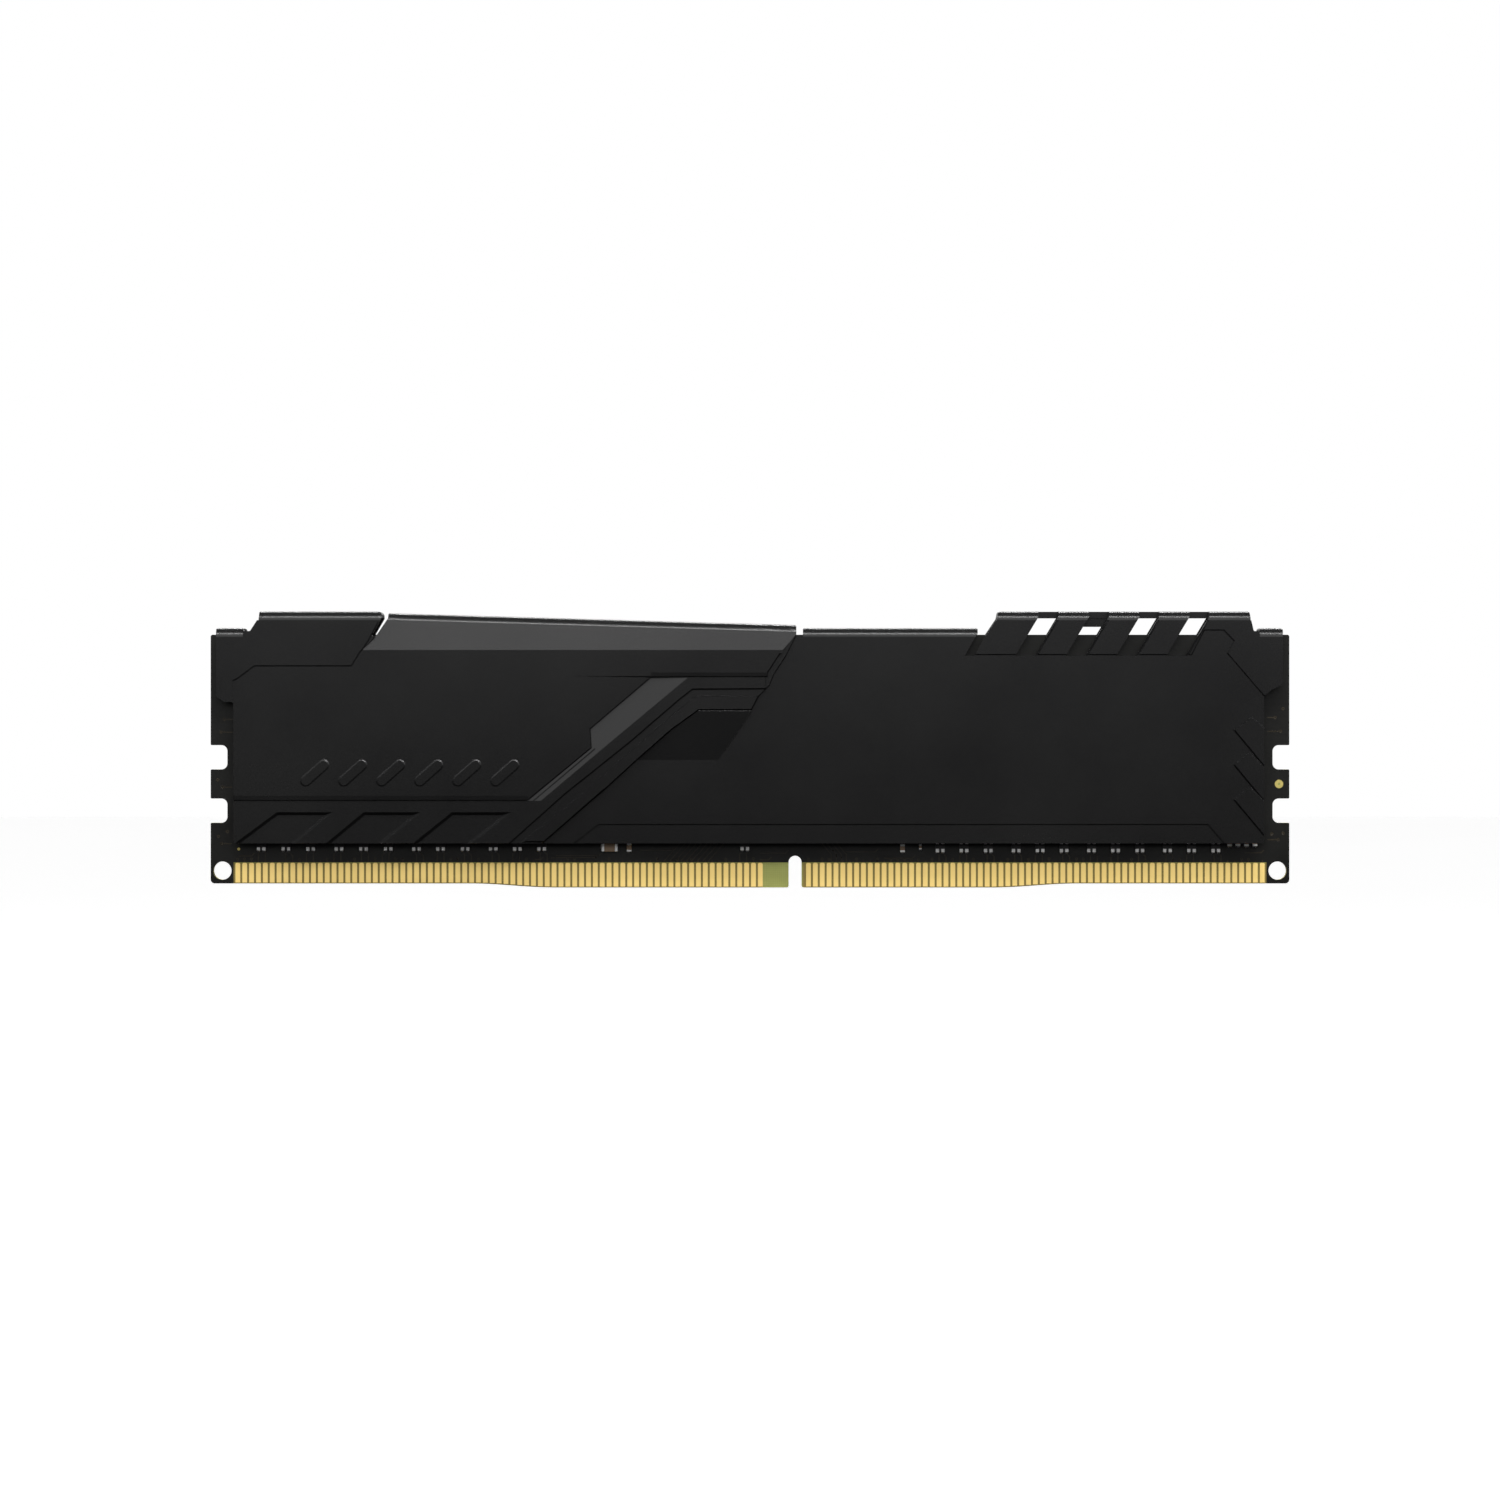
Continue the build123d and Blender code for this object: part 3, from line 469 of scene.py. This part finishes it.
def ring(bm, x, z, r0, r1, side, d0, h, seg=14):
    prof = ((r1 + h, 0.0), (r1, h), (r0, h), (r0 * 0.75, h * 0.2), (r0 * 0.6, -0.02), (r1 + h, -0.02))
    loops = []
    for i in range(seg):
        a = 2 * math.pi * i / seg
        loops.append([bm.verts.new(((x + r * math.cos(a)) * MM, side * (d0 + hh) * MM, (z + r * math.sin(a)) * MM)) for r, hh in prof])
    for i in range(seg):
        a, b = loops[i], loops[(i + 1) % seg]
        for k in range(len(prof)):
            m = (k + 1) % len(prof)
            bm.faces.new((a[k], a[m], b[m], b[k]))


def finish_mesh(bm, name, slot, smooth=False, mat=None):
    bmesh.ops.recalc_face_normals(bm, faces=bm.faces)
    me = bpy.data.meshes.new(name)
    bm.to_mesh(me)
    bm.free()
    ob = bpy.data.objects.new(name, me)
    bpy.context.scene.collection.objects.link(ob)
    me.materials.append(MATS[mat or slot])
    for p in me.polygons:
        p.use_smooth = smooth
    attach(ob, "root")
    return ob


SURF = 0.70
PINS = [-63.325 + 0.85 * i for i in range(77)] + [63.325 - 0.85 * (143 - i) for i in range(77, 144)]
ROW_L = [-60.41, -57.37, -54.31, -50.80, -47.77, -44.71, -41.23, -38.25, -35.20, -31.74, -28.75, -25.76]
ROW_R = [23.50, 26.45, 29.45, 32.90, 35.85, 38.82, 42.20, 45.18, 48.18, 51.60, 54.57, 57.57]


def traces(side):
    bm = bmesh.new()
    used = set()
    for xs, zc in ((ROW_L, 5.30), (ROW_R, 5.09), ([-0.65], 5.32)):
        for x in xs:
            for s in (-1, 1):
                xt = x + s * 0.34
                k = min((p for p in PINS if p not in used), key=lambda p: abs(p - xt))
                used.add(k)
                zt = zc - 0.77
                dx = xt - k
                zj = max(3.20, zt - 0.12 - abs(dx))
                pts = [(k, 3.14), (k, zj), (xt, min(zt - 0.02, zj + abs(dx)))]
                if abs(dx) < 0.03:
                    pts = [(k, 3.14), (k, zt - 0.02)]
                ribbon(bm, pts, 0.13, side, SURF, 0.014)
                # out of the far terminal, up to the packages
                za = zc + 0.78
                ribbon(bm, [(xt, za), (xt, za + 0.5), (xt + s * 0.25, za + 0.75), (xt + s * 0.25, 8.6)], 0.10, side, SURF, 0.014)
    # address and clock bundles in the middle: parallel runs rising to the right, then falling
    for i in range(9):
        x0 = -10.6 + 0.68 * i
        ribbon(bm, [(x0, 3.2 + 0.06 * (i % 2)), (x0 + 0.25, 3.55), (x0 + 1.85, 5.35), (x0 + 2.1, 8.4)], 0.10, side, SURF, 0.016)
    for i in range(4):
        x0 = 8.85 + 0.62 * i
        ribbon(bm, [(x0, 8.3), (x0, 5.5), (x0 + 1.2, 4.1), (x0 + 1.2, 3.2)], 0.10, side, SURF, 0.016)
    for x0, x1, z in ((-13.6, -9.7, 4.62), (1.2, 4.4, 4.25), (11.7, 15.5, 4.42), (16.6, 20.1, 3.62), (-26.6, -25.9, 3.45),
                      (1.2, 2.3, 3.42), (-24.6, -19.0, 3.70), (-24.0, -18.6, 3.95), (61.2, 63.2, 4.3), (-63.2, -61.6, 3.9)):
        ribbon(bm, [(x0, z), (x1, z), (x1 + 0.35, z + 0.35)], 0.11, side, SURF, 0.016)
    # remaining contacts: short stubs, some of which end in a via
    for k in PINS:
        if k in used or 1.0 < k < 6.6:
            continue
        top = 3.30 + 0.12 * rnd.random()
        ribbon(bm, [(k, 3.14), (k, top)], 0.12, side, SURF, 0.014)
        if rnd.random() < 0.42:
            ring(bm, k, top + 0.17, 0.09, 0.17, side, SURF, 0.016)
    # scattered vias in the ends and up the sides of the card
    spots = [(-65.3, 5.4), (-65.7, 6.3), (65.3, 5.9), (65.9, 6.7), (-65.2, 12.4), (-65.8, 13.3), (65.6, 19.3), (64.9, 21.0),
             (-65.4, 19.2), (-65.0, 20.8), (65.9, 22.1), (-64.6, 6.9), (64.5, 6.6)]
    for x, z in spots:
        ring(bm, x, z, 0.10, 0.20, side, SURF, 0.016)
    for x0, z0, x1, z1 in ((-65.3, 5.4, -64.1, 5.4), (65.3, 5.9, 64.0, 5.9), (-65.4, 19.2, -63.9, 19.2), (65.6, 19.3, 64.0, 19.3),
                           (-65.2, 12.4, -64.0, 12.4), (-65.0, 20.8, -63.9, 20.8), (64.9, 21.0, 63.9, 21.0)):
        ribbon(bm, [(x0, z0), (x1, z1)], 0.12, side, SURF, 0.014)
    return finish_mesh(bm, "trace_relief_front" if side < 0 else "trace_relief_rear", "solder_mask", mat="covered_copper")


traces(-1)
traces(1)


# ---------------------------------------------------------------------------
# solder fillets at the outer ends of the small parts
# ---------------------------------------------------------------------------
def fillet(bm, x, z, ux, uz, w, h, side):
    # concave wedge against an end face at (x, z) that looks along (ux, uz)
    prof = ((-0.02, h), (0.0, h), (0.035, h * 0.55), (0.075, h * 0.25), (0.13, h * 0.07), (0.18, -0.01), (-0.02, -0.01))
    ends = []
    for k, half in ((-1, w / 2), (-0.6, w / 2), (0.6, w / 2), (1, w / 2)):
        sc = 0.72 if abs(k) == 1 else 1.0
        row = []
        for a, b in prof:
            aa = a * sc if a > 0 else a
            bb = b * sc if b > 0 else b
            row.append(bm.verts.new(((x + ux * aa - uz * half * k) * MM, side * (SURF + bb) * MM, (z + uz * aa + ux * half * k) * MM)))
        ends.append(row)
    n = len(prof)
    for a, b in zip(ends, ends[1:]):
        for i in range(n):
            j = (i + 1) % n
            bm.faces.new((a[i], a[j], b[j], b[i]))
    bm.faces.new(ends[0][::-1])
    bm.faces.new(ends[-1])


def fillets(side):
    bm = bmesh.new()
    for xs, zc in ((ROW_L, 5.30), (ROW_R, 5.09), ([-0.65], 5.32)):
        for x in xs:
            for sx in (-1, 1):
                for sz in (-1, 1):
                    fillet(bm, x + sx * 0.34, zc + sz * 0.75, 0, sz, 0.36, 0.26, side)
    if side < 0:
        for sx in (-1, 1):
            fillet(bm, -17.35 + sx * 1.0, 4.95, sx, 0, 0.9, 0.40, side)
        for x, z, l, w, t in ((-14.95, 4.95, 1.0, 0.6, 0.45), (18.85, 4.85, 1.0, 0.6, 0.45), (21.06, 5.02, 0.6, 0.35, 0.30),
                              (59.28, 5.62, 1.0, 0.6, 0.45), (60.31, 5.62, 1.0, 0.6, 0.45), (61.35, 5.62, 1.0, 0.6, 0.45),
                              (62.39, 5.62, 1.0, 0.6, 0.45)):
            for sz in (-1, 1):
                fillet(bm, x, z + sz * l / 2, 0, sz, w * 0.9, t * 0.75, side)
    return finish_mesh(bm, "solder_fillets_front" if side < 0 else "solder_fillets_rear", "solder")


fillets(-1)
fillets(1)


# ---------------------------------------------------------------------------
# stage: pale floor, soft light, camera
# ---------------------------------------------------------------------------
def stage_material():
    t = Tree("pale_floor")
    c = t.noise(3, 2)
    col = t.mix(t.range(c, 0.3, 0.7, 0, 1), (0.86, 0.86, 0.86), (0.88, 0.88, 0.88))
    t.set(Base_Color=col, Roughness=0.9)
    t.p.inputs["Emission Color"].default_value = (1, 1, 1, 1)
    t.p.inputs["Emission Strength"].default_value = 0.55
    # seen from underneath the floor is clear, so the contact edge stays in view
    clear = t.add("ShaderNodeBsdfTransparent")
    two = t.add("ShaderNodeMixShader")
    t.link(t.geo.outputs["Backfacing"], two.inputs[0])
    t.link(t.p.outputs["BSDF"], two.inputs[1])
    t.link(clear.outputs[0], two.inputs[2])
    t.link(two.outputs[0], t.out.inputs["Surface"])
    return t.mat


bm = bmesh.new()
S = 6.0
floor_z = -0.050
vs = [bm.verts.new(c) for c in ((-S, -S, floor_z), (S, -S, floor_z), (S, S, floor_z), (-S, S, floor_z))]
bm.faces.new(vs)
me = bpy.data.meshes.new("floor")
bm.to_mesh(me)
bm.free()
floor = bpy.data.objects.new("floor", me)
me.materials.append(stage_material())
bpy.context.scene.collection.objects.link(floor)
floor.visible_diffuse = False
floor.visible_glossy = False

world = bpy.data.worlds.new("studio")
bpy.context.scene.world = world
world.use_nodes = True
wn = world.node_tree
wn.nodes.clear()
w_out = wn.nodes.new("ShaderNodeOutputWorld")
lp = wn.nodes.new("ShaderNodeLightPath")
seen = wn.nodes.new("ShaderNodeBackground")
seen.inputs["Color"].default_value = (1, 1, 1, 1)
seen.inputs["Strength"].default_value = 1.0
dome = wn.nodes.new("ShaderNodeBackground")
dome.inputs["Strength"].default_value = 1.0
tc = wn.nodes.new("ShaderNodeTexCoord")
sp = wn.nodes.new("ShaderNodeSeparateXYZ")
wn.links.new(tc.outputs["Generated"], sp.inputs[0])
mr = wn.nodes.new("ShaderNodeMapRange")
mr.inputs["From Min"].default_value = -1
mr.inputs["From Max"].default_value = 1
wn.links.new(sp.outputs["Z"], mr.inputs["Value"])
ra = wn.nodes.new("ShaderNodeValToRGB")
ra.color_ramp.interpolation = "LINEAR"


# brightness of the dome against its elevation in degrees, in rising order
DOME = ((-90, 0.01), (-12, 0.01), (-5, 0.01), (0, 0.015), (4, 0.035), (9, 0.15), (14, 0.62), (20, 0.72), (28, 0.66), (42, 0.66), (53, 0.35), (64, 0.08), (90, 0.03))
els = ra.color_ramp.elements
els[0].position, els[1].position = 0.0, 1.0
for deg, v in DOME[1:-1]:
    els.new((math.sin(math.radians(deg)) + 1) / 2)
for el, (deg, v) in zip(els, DOME):
    el.color = (v, v, v, 1)
dome_gain = wn.nodes.new("ShaderNodeMath")
dome_gain.operation = "MULTIPLY"
dome_gain.inputs[1].default_value = 2.3
wn.links.new(mr.outputs["Result"], ra.inputs["Fac"])
wn.links.new(ra.outputs["Color"], dome_gain.inputs[0])


def wmath(op, a, b=None):
    n = wn.nodes.new("ShaderNodeMath")
    n.operation = op
    for i, v in enumerate((a, b)):
        if v is None:
            continue
        if isinstance(v, (int, float)):
            n.inputs[i].default_value = v
        else:
            wn.links.new(v, n.inputs[i])
    return n.outputs[0]


# bright in front of the card and behind it, dim off its ends
flat_len = wmath("SQRT", wmath("MAXIMUM", wmath("SUBTRACT", 1.0, wmath("MULTIPLY", sp.outputs["Z"], sp.outputs["Z"])), 1e-6))
facing = wmath("DIVIDE", wmath("ABSOLUTE", sp.outputs["Y"]), flat_len)
# narrower on the left of whoever looks at either face
left = wmath("MINIMUM", wmath("MAXIMUM", wmath("MULTIPLY", wmath("MULTIPLY", sp.outputs["X"], sp.outputs["Y"]), 8.0), 0.0), 1.0)
side = wn.nodes.new("ShaderNodeMapRange")
side.interpolation_type = "SMOOTHSTEP"
side.inputs["To Min"].default_value = 0.10
side.inputs["To Max"].default_value = 1.0
wn.links.new(wmath("ADD", wmath("MULTIPLY", left, 0.30), 0.30), side.inputs["From Min"])
wn.links.new(wmath("ADD", wmath("MULTIPLY", left, 0.13), 0.75), side.inputs["From Max"])
wn.links.new(facing, side.inputs["Value"])
wn.links.new(wmath("MULTIPLY", dome_gain.outputs[0], side.outputs["Result"]), dome.inputs["Strength"])
mixs = wn.nodes.new("ShaderNodeMixShader")
wn.links.new(lp.outputs["Is Camera Ray"], mixs.inputs[0])
wn.links.new(dome.outputs[0], mixs.inputs[1])
wn.links.new(seen.outputs[0], mixs.inputs[2])
wn.links.new(mixs.outputs[0], w_out.inputs[0])


PANEL_W = 0.115


def softbox(name, loc, target, size, power, size_y=None, glossy=True):
    la = bpy.data.lights.new(name, "AREA")
    la.shape = "RECTANGLE"
    la.size = size
    la.size_y = size_y or size
    la.energy = power
    ob = bpy.data.objects.new(name, la)
    ob.location = loc
    ob.visible_camera = False
    ob.visible_glossy = glossy
    ob.rotation_euler = (Vector(target) - Vector(loc)).to_track_quat("-Z", "Y").to_euler()
    bpy.context.scene.collection.objects.link(ob)
    return ob


softbox("strip_front", (0, -0.030, 0.078), (0, 0, 0.020), 0.34, 0.36, 0.02, glossy=False)
softbox("strip_back", (0, 0.030, 0.078), (0, 0, 0.020), 0.34, 0.36, 0.02, glossy=False)
softbox("key", (0.22, -0.55, 0.62), (0, 0, 0.02), 0.55, 6.2, 0.40, glossy=False)
softbox("back", (-0.22, 0.55, 0.62), (0, 0, 0.02), 0.55, 6.2, 0.40, glossy=False)
for sy in (-1, 1):
    # low fill that reaches the small parts under the plate's lower edge
    softbox("low_%s" % ("front" if sy < 0 else "back"), (0, sy * 0.60, 0.0), (0, 0, 0.004), 0.5, 0.18, 0.10, glossy=False)
    # slim high strip that draws a thin line along the folds
    softbox("line_%s" % ("front" if sy < 0 else "back"), (0.15, sy * 0.60, 0.66), (0, 0, 0.03), 1.3, 5.0, 0.05)
    # low panel whose lower edge grades the flat faces from top to bottom
    la = softbox("panel_%s" % ("front" if sy < 0 else "back"), (0.0, sy * 0.30, 0.0775), (0.0, 0.0, 0.0775), 0.9, PANEL_W, 0.065)

cam_data = bpy.data.cameras.new("camera")
cam_data.sensor_width = 36.0
cam_data.lens = 36.0 * 850.0 / 185.6
cam_data.clip_start = 0.05
cam_data.clip_end = 30
cam = bpy.data.objects.new("camera", cam_data)
cam.location = (0.0, -0.85, 0.0170)
cam.rotation_euler = (math.radians(90), 0, 0)
bpy.context.scene.collection.objects.link(cam)
bpy.context.scene.camera = cam
bpy.context.scene.view_settings.view_transform = "Standard"
bpy.context.scene.view_settings.look = "None"

bpy.context.view_layer.update()
